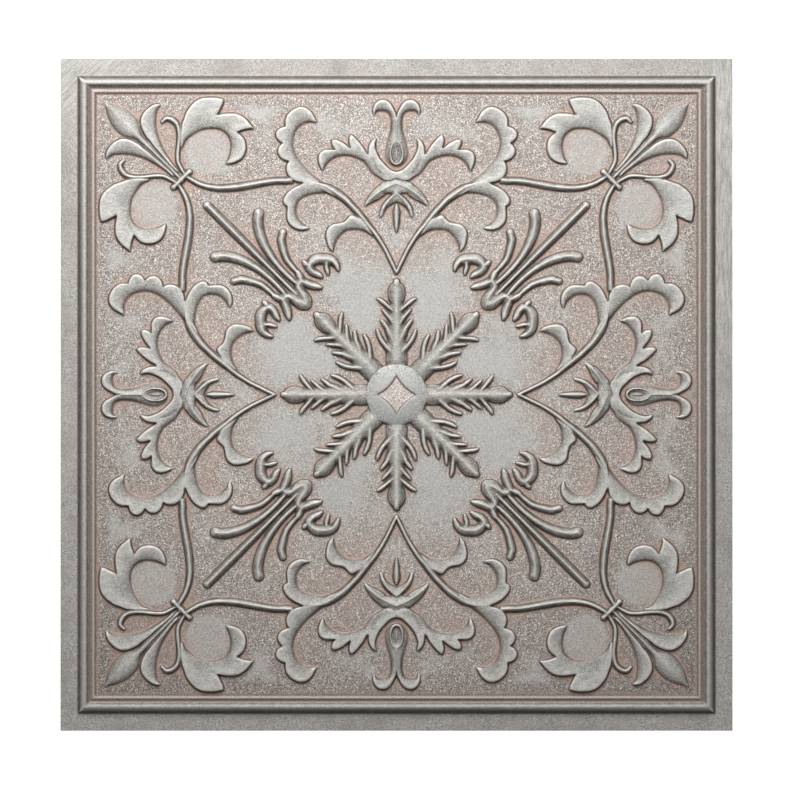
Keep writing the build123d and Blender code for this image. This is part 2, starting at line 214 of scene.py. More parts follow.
lower_leaf = scoop(
    [(77.9, 149.7), (82.3, 151.9), (85.3, 154.5), (88.3, 158.4), (89.9, 163.1), (89.9, 168.3), (88.3, 172.7),
     (84.9, 176.1), (79.7, 178.7), (73.6, 180.2), (66, 180.8), (59.9, 180.4), (52, 176)],
    [(52, 176), (52, 181)],
    [(52, 181), (60, 186), (71, 190.2), (81.6, 190.4), (86.8, 187.9), (91.1, 185.9), (96.4, 182.3),
     (99.8, 178.2), (101.6, 174.1), (100.7, 170.4), (97.9, 168.6)],
    [(97.9, 168.6), (98, 164.5), (98.3, 159.7), (97.4, 155.3), (94.8, 151.4), (90.9, 148.8), (85.7, 147.4),
     (81, 148), (77.9, 149.7)],
)
small_leaf = scoop(
    [(57, 128.1), (56.2, 131.3), (55.1, 135), (53.2, 139.2), (50.4, 142.9), (46.7, 146.2), (43.4, 147.6),
     (39.7, 148.2), (35, 148.1), (30.3, 147.1), (26.1, 145.3), (23.3, 143.4), (20.1, 141)],
    [(20.1, 141), (24, 147)],
    [(24, 147), (29.9, 156), (32.7, 157.6), (36.4, 159.5), (39.7, 160.9), (42, 160), (44.3, 157.4),
     (46.7, 155.1), (49.9, 153.9), (53.7, 153.4), (57.4, 152.5), (60.2, 150.4), (62.5, 147.1), (63.2, 143.4),
     (62.8, 139.7), (61.8, 135.5), (60.2, 131.3), (57, 128.1)],
)
pod = ridged(
    outline(
        [(217.4, 219.6), (221.4, 225.6), (224.4, 228.6), (228, 232.8), (229.8, 236.4), (230.4, 241.2),
         (232.2, 245.4), (235.2, 249), (239.4, 253.2), (244.8, 256.5), (250.8, 258.9), (258, 260.6),
         (261.8, 261.8)],
        mirror="diagonal",
    ),
    [[(216, 216, 1.8), (226, 226, 2.3), (238, 238, 2.5), (248, 248, 2.3), (256, 256, 1.9), (261, 261, 1.2)]],
    1.2,
)
petal = scoop(
    [(194, 199.6), (197.4, 203.4), (201, 207.6), (204.6, 213), (208.2, 219), (211.5, 225.6), (213.6, 231.6),
     (215.1, 237), (215.8, 241.8), (215.8, 246.6), (215.4, 251.4), (214.2, 255.6), (211.6, 259.8)],
    [(211.6, 259.8), (214.2, 260.4), (218.4, 259.5), (222.6, 256.8), (226.2, 253.2), (228.6, 249),
     (229.5, 244.2), (228.6, 239.4), (226.8, 235.2), (224.4, 231), (221.4, 227.4), (218.4, 223.2),
     (214.2, 218.4), (209.4, 213), (204, 207), (197.4, 200)],
    [(197.4, 200), (194, 199.6)],
)
tulip = scoop(
    [(152.8, 207), (150.2, 213.2), (148.6, 219.2), (148.4, 225.2), (150.2, 231.2), (153.8, 235.4),
     (159.2, 238.2), (166.4, 238.8), (173.6, 237.8), (180.2, 234.8), (185.6, 231.2), (189.2, 227.6),
     (191.8, 222.4), (193, 221)],
    [(193, 221), (193.6, 232), (192.8, 240.8), (190.2, 248), (188.6, 252.8), (185, 258.2), (180.8, 262.6),
     (175.4, 265.4), (168.8, 266.4), (161.6, 266.2), (155, 264.8)],
    [(155, 264.8), (155.4, 261.2), (157.4, 257), (160.2, 251)],
    [(160.2, 251), (155.6, 251.6), (149.6, 252.2), (143.6, 251.8), (138.8, 249.8), (134, 246.2),
     (128.4, 238.8)],
    [(128.4, 238.8), (132.8, 238.2), (137.6, 237.2), (142.6, 235)],
    [(142.6, 235), (139.4, 232.4), (136.4, 228.8), (135, 223.4), (135.4, 218), (137.8, 212.6), (142.4, 209),
     (147.8, 207.2), (152.8, 207)],
    low=1.3,
)
curl = scoop(
    [(5.1, 237.5), (4.7, 241.2), (4.7, 244.9), (5.3, 248.7), (6.8, 252.3), (10.7, 254.4), (16, 254.6),
     (18.9, 253), (20, 250.4)],
    [(20, 250.4), (21.1, 254.5), (20.6, 257.7), (19.2, 260.7), (17.1, 262.8), (14.4, 264.1), (11.2, 264.2),
     (8, 263.1), (5.3, 260.7), (3.2, 257.2), (1.6, 254), (0, 251)],
    [(0, 251), (0, 237.5)],
)
wing = scoop(
    [(66.2, 200.4), (63.6, 205.5), (60.9, 208.7), (57.7, 211.3), (54, 213.2), (49.7, 214.3), (45.4, 214.5),
     (41.2, 214), (37.4, 212.9), (34.2, 211.6), (31, 210), (29.4, 209.2), (27.3, 206.5), (25.1, 203.3),
     (23, 200.1), (20.3, 197.5), (17.1, 195.7), (11.5, 191.9)],
    [(11.5, 191.9), (6.4, 191.2), (3.2, 192.3), (0, 193.4), (-4, 193.6)],
    [(-4, 199.8), (0, 199.8), (4.4, 201), (7.5, 203.3), (10.2, 206), (12.8, 208.7), (15.5, 212.4),
     (17.6, 216.7), (19, 220.9), (19.2, 224.7), (18.2, 229.6)],
    [(18.2, 229.6), (21.4, 228.1), (23.5, 225.2), (24.9, 221.5), (25.5, 215.2)],
    [(25.5, 215.2), (27.3, 217.2), (29.4, 220.9), (32.1, 224.7), (35.3, 228.4), (37.9, 231.1),
     (40.6, 232.8)],
    [(40.6, 232.8), (42.3, 230.3), (42.5, 227.3), (42, 224.1), (41.2, 220.8)],
    [(41.2, 220.8), (43.8, 222.5), (47, 225.2), (50.8, 227.3), (54.5, 228.7), (57.6, 228.3)],
    [(57.6, 228.3), (58.2, 226.3), (57.7, 223.6), (56.7, 221.5), (55, 219.6)],
    [(55, 219.6), (58.8, 219.6), (63.1, 219.6), (66.3, 218.5), (68.9, 216.1), (70.1, 212.9), (70, 209.2),
     (68.9, 205.5), (66.2, 200.4)],
    low=1.2,
)
petal_low = ridged(
    outline(
        [(0, 180), (9, 180.4), (10.9, 178.6), (13.3, 177), (16.1, 175), (19.7, 173.4), (22.9, 171.8),
         (25.7, 170.4), (28.4, 168.6)],
        [(28.4, 168.6), (28.5, 170.6), (27.7, 173), (26.1, 176.2), (24.1, 179.4), (21.7, 182.2),
         (18.5, 185.4), (15.3, 187.8), (12.1, 190.6), (6, 191.6), (0, 193.6)],
        mirror="upright",
    ),
    [[(0, 189.4, 2.7), (5.2, 187.2, 2.7), (11.7, 184, 2.6), (18.1, 179.8, 2.5), (24.1, 174.8, 2.3),
      (27.4, 170.6, 1.8)]],
    1.7,
)
foot_leaf = ridged(
    outline(
        [(0, 172.6), (2.4, 171.8), (5.2, 170.2), (8, 168.2), (10.1, 165.8), (11.7, 162.6), (12.9, 159.4),
         (15.1, 159.2)],
        [(15.1, 159.2), (14.9, 163), (14.1, 166.6), (12.9, 169.8), (11.3, 172.6), (8.8, 175.4), (6, 178),
         (0, 183)],
        mirror="upright",
    ),
    [[(0, 180.6, 2.5), (4, 177, 2.5), (8.8, 171.8, 2.4), (12.5, 165.8, 2.2), (13.8, 161, 1.8)]],
    1.7,
)
bulb = ridged(
    outline(
        [(0, 205), (4.6, 206.2), (8, 209.6), (9.8, 214.6), (9.8, 219.8), (8.4, 225.6), (6.6, 231.4),
         (5.2, 237.5), (4.8, 243), (4.6, 247.4)],
        [(4.6, 247.4), (0, 249.4)],
        mirror="upright",
    ),
    [[(0, 208, 1.6), (0, 214, 1.8), (0, 221, 2.0), (0, 228, 2.5), (0, 238, 2.6), (0, 247, 2.3)]],
    1.2,
)
leaves = [bulb, upper_leaf, lower_leaf, small_leaf, pod, petal, tulip, curl, wing, petal_low, foot_leaf]

# Fine veins pressed into the leaves, each with its depth.
veins = [
    ([(0, 223), (1.5, 219), (1.9, 215), (1.5, 211.5), (0, 209)], 0.9),
    ([(20.8, 210.8), (20, 206.5), (18.4, 202.8), (16.6, 200.1), (14.4, 198)], 0.5),
    ([(160.2, 251), (165, 249), (171, 247)], 0.25),
    ([(142.6, 235), (147, 237), (152, 240)], 0.25),
    ([(102.6, 225.3), (99, 224.6), (96.4, 224.4)], 0.3),
    ([(96.8, 208.9), (93.6, 210), (91, 211.6)], 0.3),
]

VEIN_REACH = 0.9
LEAF_FLANK = 1.8


def leaf_height(x, y, leaf):
    """Height of one leaf over the field: a steep flank round its outline and its own top."""
    edge = leaf["edge"]
    away, _ = distance(x, y, np.vstack([edge, edge[:1]]))
    away = np.where(inside(x, y, edge), away, -away)
    if "crests" in leaf:
        top = np.zeros(x.shape)
        for crest in leaf["crests"]:
            to_crest, height = distance(x, y, crest)
            share = np.clip(away / (np.abs(away) + to_crest + 1e-6), 0, 1)
            rise = leaf["lip"] + (height - leaf["lip"]) * (1 - (1 - share) ** 1.3)
            top = np.maximum(top, rise)
    else:
        to_inner, _ = distance(x, y, leaf["inner"])
        to_outer, _ = distance(x, y, leaf["outer"])
        share = to_inner / (to_inner + to_outer + 1e-6)
        top = leaf["low"] + (leaf["high"] - leaf["low"]) * share ** 0.7
    return top * soft_step((away + LEAF_FLANK / 2) / LEAF_FLANK)


def close_to(x, y, line, margin):
    """Which points lie within a margin of the box round a line."""
    low, high = line[:, :2].min(axis=0) - margin, line[:, :2].max(axis=0) + margin
    return (x > low[0]) & (x < high[0]) & (y > low[1]) & (y < high[1])


# Across a rod: a steep flank, a rounded top, and a fine raised line along the crest of thin rods.
# The clean crest, and the spread from it to full patina, are shares of the half width.
ROD_FLANK = 1.3
ROD_TOE = 0.2
WIPED_CREST = 0.07
SIDE_SPREAD = 0.43
ROD_ROUNDING = 0.62
CREST_LINE = 0.45
CREST_LINE_REACH = 0.8
THIN_ROD = 5.5


def relief(x, y):
    """Height of the ornament over the field, and how far down the side of a rod each point lies."""
    height = np.zeros(x.shape)
    side = np.zeros(x.shape)
    cos = math.cos(math.pi / 4)
    turned = np.abs(x - y) * cos, (x + y) * cos
    jobs = [(x, y, line, top) for line, top in rods + star_rods]
    jobs += [(*turned, line, top) for line, top in star_rods]
    for px, py, line, top in jobs:
        curve = smooth(line)
        near = close_to(px, py, curve, 10)
        away, width = distance(px[near], py[near], curve)
        share = np.clip(away / width, 0, 1)
        flank = soft_step((width - away + ROD_TOE) / ROD_FLANK)
        crest = CREST_LINE * np.exp(-(away / CREST_LINE_REACH) ** 2) * (width < THIN_ROD)
        rise = top * flank * (1 - ROD_ROUNDING * share ** 1.3) + crest
        glazed = soft_step((share - WIPED_CREST) / SIDE_SPREAD)
        side[near] = np.where(rise > height[near], glazed, side[near])
        height[near] = np.maximum(height[near], rise)
    for leaf in leaves:
        near = close_to(x, y, leaf["edge"], 3)
        rise = leaf_height(x[near], y[near], leaf)
        side[near] = np.where(rise > height[near], 0, side[near])
        height[near] = np.maximum(height[near], rise)
    for line, depth in veins:
        curve = smooth(line)
        near = close_to(x, y, curve, 10)
        away, _ = distance(x[near], y[near], curve)
        height[near] = height[near] - depth * np.exp(-(away / VEIN_REACH) ** 2)
    return np.maximum(height, 0), side


# The edge moulding, as height against distance from the centre line: the flat field, the fine
# bead, the cove, the round outer bead and the flat flange.
moulding = np.array([
    (0, 3.2), (268.2, 3.2), (269.4, 3.0), (270.2, 3.3), (271.0, 4.0), (271.8, 4.25), (272.6, 4.0),
    (273.5, 3.4), (274.4, 3.15), (275.3, 3.5), (276.3, 4.2), (277.4, 5.0), (278.5, 5.5), (279.5, 5.7),
    (280.6, 5.55), (281.8, 5.0), (282.9, 4.1), (284.0, 2.9), (285.0, 1.6), (285.8, 0.9), (286.6, 0.7),
    (HALF, 0.7),
])

# The boss: a low dome with a four-pointed hollow, each of its sides part of a circle. It reaches
# the top of the frame, with a little added for what the softening of the sheet takes off.
BOSS = 27.2
BOSS_FOOT = 2.6
SOFTENING_LOSS = 0.28
BOSS_APEX = frame_box[1][2] * 1000 + SOFTENING_LOSS
HOLLOW_DEPTH = 1.2
HOLLOW_FLANK = 0.9
HOLLOW_CENTRE = 34.3
HOLLOW_RADIUS = 38.3


def into_hollow(x, y):
    """Distance into the four-pointed hollow, below 0 outside it."""
    return np.hypot(np.abs(x) - HOLLOW_CENTRE, np.abs(y) - HOLLOW_CENTRE) - HOLLOW_RADIUS


def height_at(x, y):
    """The front of the sheet, for x and y in the upper right quarter, and the sides of its rods."""
    far = np.maximum(x, y)
    z = np.interp(far, moulding[:, 0], moulding[:, 1])
    r = np.hypot(x, y)
    ornament, side = relief(np.minimum(x, y), far)
    # The arms of the star sink a little where they meet the boss.
    z = z + ornament * (0.8 + 0.2 * soft_step((r - BOSS) / 5))
    low = FIELD + BOSS_FOOT
    dome = low + (BOSS_APEX - low) * (1 - (np.clip(r, 0, BOSS) / BOSS) ** 2.3)
    dome = dome - HOLLOW_DEPTH * soft_step((into_hollow(x, y) + 0.3) / HOLLOW_FLANK)
    return np.where(r < BOSS, np.maximum(dome, FIELD), z), side


# The upper right quarter on a fine grid. One eighth is worked out and copied over the diagonal, so
# that the heights can be softened without a seam there.
ticks = np.arange(STEPS + 1) * SPACING
grid_x, grid_y = np.meshgrid(ticks, ticks, indexing="ij")
upper = grid_y >= grid_x
grid_z = np.zeros(grid_x.shape)
rod_side = np.zeros(grid_x.shape)
grid_z[upper], rod_side[upper] = height_at(grid_x[upper], grid_y[upper])
grid_z = np.where(upper, grid_z, grid_z.T)
rod_side = np.where(upper, rod_side, rod_side.T)


def blurred(field, reach):
    """The grid softened over a reach in millimetres, mirrored past the two centre lines."""
    pad = int(3 * reach / SPACING) + 1
    wide = np.pad(field, ((pad, 0), (pad, 0)), mode="reflect")
    wide = np.pad(wide, ((0, pad), (0, pad)), mode="edge")
    weights = np.exp(-0.5 * (np.arange(-pad, pad + 1) * SPACING / reach) ** 2)
    weights /= weights.sum()
    for direction in (0, 1):
        wide = np.apply_along_axis(lambda line: np.convolve(line, weights, "same"), direction, wide)
    return wide[pad:-pad, pad:-pad]


# Softening of the formed sheet, which can't follow a sharp edge; its back follows even less.
FRONT_SOFTNESS = 0.35
BACK_SOFTNESS = 0.8
BEAD_END = 283

grid_z = blurred(grid_z, FRONT_SOFTNESS)
grid_radius = np.hypot(grid_x, grid_y)
ornamented = (np.maximum(grid_x, grid_y) < BEAD_END) & (grid_radius > BOSS)
raised = np.where(ornamented, grid_z - FIELD, 0)
slope = np.hypot(*np.gradient(grid_z, SPACING))
plain_dome = (grid_radius < BOSS - 1) & (np.abs(into_hollow(grid_x, grid_y)) >= 1)
slope = np.where(plain_dome, 0, slope)

# What the paint needs to know at each place: how high it stands over the field, how steep it is,
# how hollow, how near to the ornament, and how far down the side of a rod.
masks = {
    "raised": raised,
    "steep": blurred(slope, 0.4),
    "groove": blurred(grid_z, 1.3) - grid_z,
    "halo": blurred(soft_step(raised / 0.6), 3.4),
    "nearby": blurred(soft_step(raised / 0.6), 6.5),
    "rod_side": blurred(rod_side, 0.4),
}


def sampled(field, x, y):
    """The grid's value at any place, between its points."""
    u = np.clip(x / SPACING, 0, STEPS - 1e-6)
    v = np.clip(y / SPACING, 0, STEPS - 1e-6)
    i, j = u.astype(int), v.astype(int)
    s, t = u - i, v - j
    return (field[i, j] * (1 - s) * (1 - t) + field[i + 1, j] * s * (1 - t)
            + field[i, j + 1] * (1 - s) * t + field[i + 1, j + 1] * s * t)


EDGE_SNAP = 0.02
DIAGONAL_SNAP = 0.03


def eighth_sheet(name, signal, triangles):
    """The eighth as a triangle grid, thinned where the signal is flat: its x, y and faces."""
    number = -np.ones(grid_x.shape, int)
    number[upper] = np.arange(upper.sum())
    points = np.stack([grid_x[upper], grid_y[upper], signal[upper]], axis=1)
    a, b = number[:-1, :-1], number[1:, :-1]
    c, d = number[1:, 1:], number[:-1, 1:]
    both = b >= 0
    one = ~both & (a >= 0)
    faces = np.vstack([
        np.stack([a[both], b[both], c[both]], axis=1),
        np.stack([a[both], c[both], d[both]], axis=1),
        np.stack([a[one], c[one], d[one]], axis=1),
    ])
    mesh = bpy.data.meshes.new(name)
    mesh.vertices.add(len(points))
    mesh.vertices.foreach_set("co", points.ravel())
    mesh.loops.add(faces.size)
    mesh.loops.foreach_set("vertex_index", faces.ravel())
    mesh.polygons.add(len(faces))
    mesh.polygons.foreach_set("loop_start", np.arange(0, faces.size, 3))
    mesh.update(calc_edges=True)
    obj = bpy.data.objects.new(name, mesh)
    bpy.context.scene.collection.objects.link(obj)
    thin = obj.modifiers.new("thin", "DECIMATE")
    thin.ratio = triangles / len(faces)
    result = obj.evaluated_get(bpy.context.evaluated_depsgraph_get()).to_mesh()
    xyz = np.zeros(len(result.vertices) * 3)
    result.vertices.foreach_get("co", xyz)
    corners = np.zeros(len(result.polygons) * 3, int)
    result.polygons.foreach_get("vertices", corners)
    xyz = xyz.reshape(-1, 3)
    bpy.data.objects.remove(obj)
    bpy.data.meshes.remove(mesh)
    x, y = xyz[:, 0], xyz[:, 1]
    x[np.abs(x) < EDGE_SNAP] = 0
    y[np.abs(y - HALF) < EDGE_SNAP] = HALF
    on_diagonal = np.abs(x - y) < DIAGONAL_SNAP
    middle = (x + y) / 2
    x = np.where(on_diagonal, middle, x)
    y = np.where(on_diagonal, middle, y)
    return x, y, corners.reshape(-1, 3)


# Front and back of the eighth. The front keeps more triangles in grooves and on steep flanks.
FRONT_TRIANGLES = 17500
BACK_TRIANGLES = 5200

signal = grid_z + 0.4 * masks["groove"] + 0.2 * masks["steep"]
front_x, front_y, front_faces = eighth_sheet("front", signal, FRONT_TRIANGLES)
back_x, back_y, back_faces = eighth_sheet("back", blurred(grid_z, 1.0), BACK_TRIANGLES)
front_z = sampled(grid_z, front_x, front_y)
back_z = sampled(blurred(grid_z, BACK_SOFTNESS), back_x, back_y) - SHEET


def outer_edge(x, y):
    """The numbers of the points on the sheet's outer edge, from the centre line outward."""
    found = np.where(y > HALF - 1e-6)[0]
    return found[np.argsort(x[found])]


# The cut edge of the sheet: a strip of triangles between the outer edges of front and back.
front_rim = outer_edge(front_x, front_y)
back_rim = outer_edge(back_x, back_y)
offset = len(front_x)
rim_faces = []
i = j = 0
while i < len(front_rim) - 1 or j < len(back_rim) - 1:
    step_front = j == len(back_rim) - 1 or (
        i < len(front_rim) - 1 and front_x[front_rim[i + 1]] <= back_x[back_rim[j + 1]])
    if step_front:
        rim_faces.append((front_rim[i], front_rim[i + 1], offset + back_rim[j]))
        i += 1
    else:
        rim_faces.append((front_rim[i], offset + back_rim[j + 1], offset + back_rim[j]))
        j += 1

MM = 0.001
all_x = np.concatenate([front_x, back_x])
all_y = np.concatenate([front_y, back_y])
all_z = np.concatenate([front_z, np.maximum(back_z, 0)])
all_faces = np.vstack([front_faces, back_faces[:, ::-1] + offset, np.array(rim_faces)])
eighth_mesh = bpy.data.meshes.new("panel eighth")
eighth_mesh.from_pydata(
    np.stack([all_x, all_y, all_z], axis=1) * MM, [], all_faces.tolist())
eighth_mesh.update()
for name, values in masks.items():
    layer = eighth_mesh.attributes.new(name, "FLOAT", "POINT")
    layer.data.foreach_set("value", sampled(values, all_x, all_y).astype(np.float32))
eighth = bpy.data.objects.new("panel eighth", eighth_mesh)
bpy.context.scene.collection.objects.link(eighth)


# The finish: sprayed silver paint, with a dark and a copper-coloured glaze brushed over it and wiped
# off what stands up. Every layer is worked out from the masks and the place on the panel.
def linear(code):
    """A colour from its hex code as shown on a screen, for a shader."""
    parts = [int(code[i:i + 2], 16) / 255 for i in (1, 3, 5)]
    return (*[p / 12.92 if p <= 0.04045 else ((p + 0.055) / 1.055) ** 2.4 for p in parts], 1)


def add(tree, kind, inputs=(), **settings):
    """A node with its settings, and its inputs as values, hex colours or other nodes' sockets."""
    node = tree.nodes.new(kind)
    for key, value in settings.items():
        setattr(node, key, value)
    for key, value in dict(inputs).items():
        if isinstance(value, bpy.types.NodeSocket):
            tree.links.new(value, node.inputs[key])
        elif isinstance(value, str):
            node.inputs[key].default_value = linear(value)
        else:
            node.inputs[key].default_value = value
    return node


def math_node(tree, operation, first, second=0.0):
    return add(tree, "ShaderNodeMath", {0: first, 1: second}, operation=operation).outputs[0]


paint = bpy.data.materials.new("silver paint with antique glaze")
paint.use_nodes = True
tree = paint.node_tree
shader = tree.nodes["Principled BSDF"]
place = add(tree, "ShaderNodeTexCoord").outputs["Object"]


def mix(amount, first, second):
    """The second colour laid over the first."""
    return add(tree, "ShaderNodeMix", {0: amount, 6: first, 7: second}, data_type="RGBA").outputs[2]


def ramp(value, low, high, to_low=0.0, to_high=1.0):
    """A share that runs from to_low, where the value is low, to to_high, and is level beyond."""
    return add(tree, "ShaderNodeMapRange", {
        0: value, 1: low, 2: high, 3: to_low, 4: to_high}, clamp=True).outputs[0]


def times(*factors):
    product = factors[0]
    for factor in factors[1:]:
        product = math_node(tree, "MULTIPLY", product, factor)
    return product


def vector_node(operation, first, second=(0, 0, 0)):
    return add(tree, "ShaderNodeVectorMath", {0: first, 1: second}, operation=operation).outputs


def mask(name):
    return add(tree, "ShaderNodeAttribute", attribute_name=name).outputs["Fac"]


def noise(scale, detail, roughness=0.5, vector=place):
    return add(tree, "ShaderNodeTexNoise", {
        "Vector": vector, "Scale": scale, "Detail": detail, "Roughness": roughness}).outputs[0]


# Where each point lies, in metres: to the right and top, its smaller and larger distance from the
# two centre lines, and its distance from the panel's centre.
to_right, to_top, _ = add(tree, "ShaderNodeSeparateXYZ", {0: place}).outputs
from_lines = [math_node(tree, "ABSOLUTE", along) for along in (to_right, to_top)]
across = math_node(tree, "MAXIMUM", *from_lines)
nearer = math_node(tree, "MINIMUM", *from_lines)
from_centre = vector_node("LENGTH", vector_node("MULTIPLY", place, (1, 1, 0))[0])["Value"]
raised_by = mask("raised")

# The grain of the sprayed paint, its light specks, the mottle of the wiped glaze and wide clouds.
grain = noise(850, 2, 0.6)
speck = noise(1100, 1)
mottle = noise(160, 4, 0.6)
cloud = noise(17, 3)


def strip(begins, full_from, full_to, ends, strength=1.0):
    """A strip along the edge moulding, by distance from the centre line in millimetres."""
    return times(ramp(across, begins * MM, full_from * MM),
                 ramp(across, ends * MM, full_to * MM, 0.0, strength))


# Silver on what stands up, with dark glaze left where a leaf slopes down into its scoop.
silver = mix(ramp(raised_by, 1.0, 2.5), "#7F7C76", "#C9C7C2")
wiped = times(ramp(raised_by, 2.5, 1.4), ramp(grain, 0.64, 0.4, 0.0, 0.85))
silver = mix(wiped, silver, "#5A524B")
silver = mix(ramp(mottle, 0.42, 0.66, 0.0, 0.4), silver, "#8B8883")
silver = mix(ramp(grain, 0.56, 0.36, 0.0, 0.5), silver, "#7C7A75")
silver = mix(ramp(speck, 0.56, 0.66, 0.0, 0.45), silver, "#E2DFDA")

# Patina down both sides of the rods, whose crests are wiped clean.
patina = mix(ramp(grain, 0.36, 0.64), "#554E47", "#9D978F")
silver = mix(times(mask("rod_side"), ramp(mottle, 0.6, 0.35, 0.55, 0.95)), silver, patina)

# The field: pinkish grey glaze stippled with bright specks. The dark glaze thickens outward and
# sits in small pits; it also thickens downward, painted shade that darkens the lower field.
ground = mix(ramp(grain, 0.38, 0.62), "#79716B", "#B0A7A0")
ground = mix(ramp(speck, 0.56, 0.63), ground, "#F0E8E1")
# Painted shade: the dark glaze is stronger towards the bottom of the panel, so the lower field is darker.
dark_glaze_and_painted_shade = times(ramp(from_centre, 0.17, 0.36, 0.0, 0.9), ramp(grain, 0.66, 0.36),
             ramp(to_top, 0.2, -0.2, 0.45, 1.0))
ground = mix(dark_glaze_and_painted_shade, ground, "#5A514B")
pits = times(ramp(noise(700, 1), 0.4, 0.33), ramp(from_centre, 0.1, 0.3, 0.0, 0.6))
ground = mix(pits, ground, "#564B43")

# Plain grey paint without stipple: clouds between the arms of the star, pockets in open places,
# and a disc in the curl of each tulip-shaped leaf. The clouds fade in the lower half, painted shade
# that leaves the field darker there.
STAR_CLOUDS_END = 0.165
STAR_CLOUDS_FULL = 0.13
DISC_CENTRE = (0.169, 0.2175, 0)
DISC_END = 0.0225
DISC_FULL = 0.018

# Painted shade: the star's lighter clouds are fainter below the centre, so the field is darker there.
star_clouds_with_painted_shade = times(ramp(from_centre, STAR_CLOUDS_END, STAR_CLOUDS_FULL), ramp(mask("halo"), 0.3, 0.08),
                    ramp(cloud, 0.3, 0.48), ramp(to_top, -0.2, -0.02, 0.55, 1.0))
pockets = times(ramp(noise(24, 2), 0.38, 0.52, 0.0, 0.8), ramp(mask("nearby"), 0.26, 0.1))
spot = add(tree, "ShaderNodeCombineXYZ", {0: nearer, 1: across}).outputs[0]
disc = ramp(vector_node("DISTANCE", spot, DISC_CENTRE)["Value"], DISC_END, DISC_FULL, 0.0, 0.7)
plain_paint_with_painted_shade = math_node(tree, "MAXIMUM", math_node(tree, "MAXIMUM", star_clouds_with_painted_shade, pockets), disc)
ground = mix(plain_paint_with_painted_shade, ground, mix(ramp(grain, 0.3, 0.7), "#A1A09C", "#CBC9C5"))
colour = mix(ramp(raised_by, 0.5, 1.3), ground, silver)

# Copper-coloured glaze round the foot of the ornament, redder where it has gathered.
copper = times(ramp(mask("halo"), 0.16, 0.42), ramp(cloud, 0.62, 0.46, 0.25, 1.0),
               ramp(raised_by, 1.0, 0.2, 0.0, 0.72))
colour = mix(copper, colour, "#B09485")
reddish = times(ramp(mask("halo"), 0.45, 0.65), ramp(raised_by, 1.0, 0.2, 0.0, 0.5),
                ramp(from_centre, 0.1, 0.2))
colour = mix(reddish, colour, "#A67E6B")

# The outer bead: wiped silver.
bead = strip(275.7, 276.5, 283.0, 284.0, 0.55)
colour = mix(bead, colour, mix(ramp(grain, 0.35, 0.65), "#7D7B76", "#AFADA9"))

# The flange: silver with dull clouds. The strokes of a brush show in it, upright on its right side
# and slanted in its top left corner.
STROKE_SLANT = -0.75

brushed = mix(ramp(grain, 0.34, 0.66), "#827F7A", "#BEBCB7")
brushed = mix(ramp(noise(60, 4), 0.42, 0.66, 0.0, 0.55), brushed, "#A39993")
brushed = mix(ramp(noise(28, 3), 0.5, 0.7, 0.0, 0.5), brushed, "#84817C")
brushed = mix(ramp(speck, 0.58, 0.68, 0.0, 0.4), brushed, "#DEDBD6")
upright = add(tree, "ShaderNodeMapping", {"Vector": place, "Scale": (1.0, 0.08, 1.0)}).outputs[0]
slanted = add(tree, "ShaderNodeVectorRotate", {
    "Vector": place, "Angle": STROKE_SLANT}, rotation_type="Z_AXIS").outputs[0]
slanted = add(tree, "ShaderNodeMapping", {"Vector": slanted, "Scale": (0.06, 1.0, 1.0)}).outputs[0]
at_right = times(ramp(to_right, 0.27, 0.285, 0.0, 0.55), ramp(to_top, -0.1, 0.1))
at_corner = times(ramp(to_right, -0.22, -0.27, 0.0, 0.55), ramp(to_top, 0.22, 0.27))
for amount, direction in ((at_right, upright), (at_corner, slanted)):
    strokes = ramp(noise(900, 3, 0.6, direction), 0.35, 0.65)
    brushed = mix(amount, brushed, mix(strokes, "#85837D", "#D0CEC9"))
colour = mix(ramp(across, 283.8 * MM, 285.0 * MM), colour, brushed)

# Dark glaze on every steep flank, painted shade down the outer side and foot of the outer bead,
# and clean bright crests.
dark = times(ramp(mask("steep"), 0.2, 0.82), ramp(mottle, 0.3, 0.6, 0.6, 0.97))
colour = mix(dark, colour, "#4A423B")
# Painted shade: a dark band down the outer side and along the foot of the outer bead.
colour = mix(strip(280.6, 282.8, 285.6, 287.0, 0.55), colour, "#5B5650")
colour = mix(ramp(mask("groove"), -0.16, -0.45, 0.0, 0.8), colour, "#D4D1CB")

# Inside the outer bead: a glazed cove, the fine bead wiped light, and a dark line on each side.
cove = mix(ramp(grain, 0.35, 0.65), "#6E635B", "#A99D94")
cove = mix(strip(270.9, 271.4, 272.3, 272.8, 0.75), cove, "#C0B7AF")
cove = mix(strip(273.8, 274.3, 275.1, 275.6, 0.6), cove, "#40372F")
cove = mix(strip(268.8, 269.3, 270.0, 270.5, 0.6), cove, "#4A4037")
colour = mix(strip(268.1, 268.6, 275.5, 276.5, 0.85), colour, cove)

# The boss: plain grey paint, duller towards its rim. Its hollow is glazed, with a dark outline.
dome = mix(ramp(grain, 0.3, 0.7), "#A5A6A2", "#C5C6C3")
rim_grain = times(ramp(from_centre, 0.016, 0.027, 0.2, 0.8), ramp(grain, 0.55, 0.4))
dome = mix(rim_grain, dome, "#84847F")
arc_offsets = [math_node(tree, "SUBTRACT", away, HOLLOW_CENTRE * MM) for away in from_lines]
from_arc = add(tree, "ShaderNodeCombineXYZ", {0: arc_offsets[0], 1: arc_offsets[1]}).outputs[0]
to_side = math_node(tree, "SUBTRACT", vector_node("LENGTH", from_arc)["Value"], HOLLOW_RADIUS * MM)
hollow = mix(ramp(grain, 0.4, 0.6), "#9A8F87", "#CFC6BF")
hollow = mix(ramp(speck, 0.54, 0.62), hollow, "#EDE7E1")
dome = mix(ramp(to_side, 0.0, 0.0004), dome, hollow)
hollow_line = ramp(math_node(tree, "ABSOLUTE", to_side), 0.0009, 0.0003, 0.0, 0.85)
dome = mix(hollow_line, dome, "#6B5548")
colour = mix(ramp(from_centre, (BOSS + 0.3) * MM, (BOSS - 0.2) * MM), colour, dome)

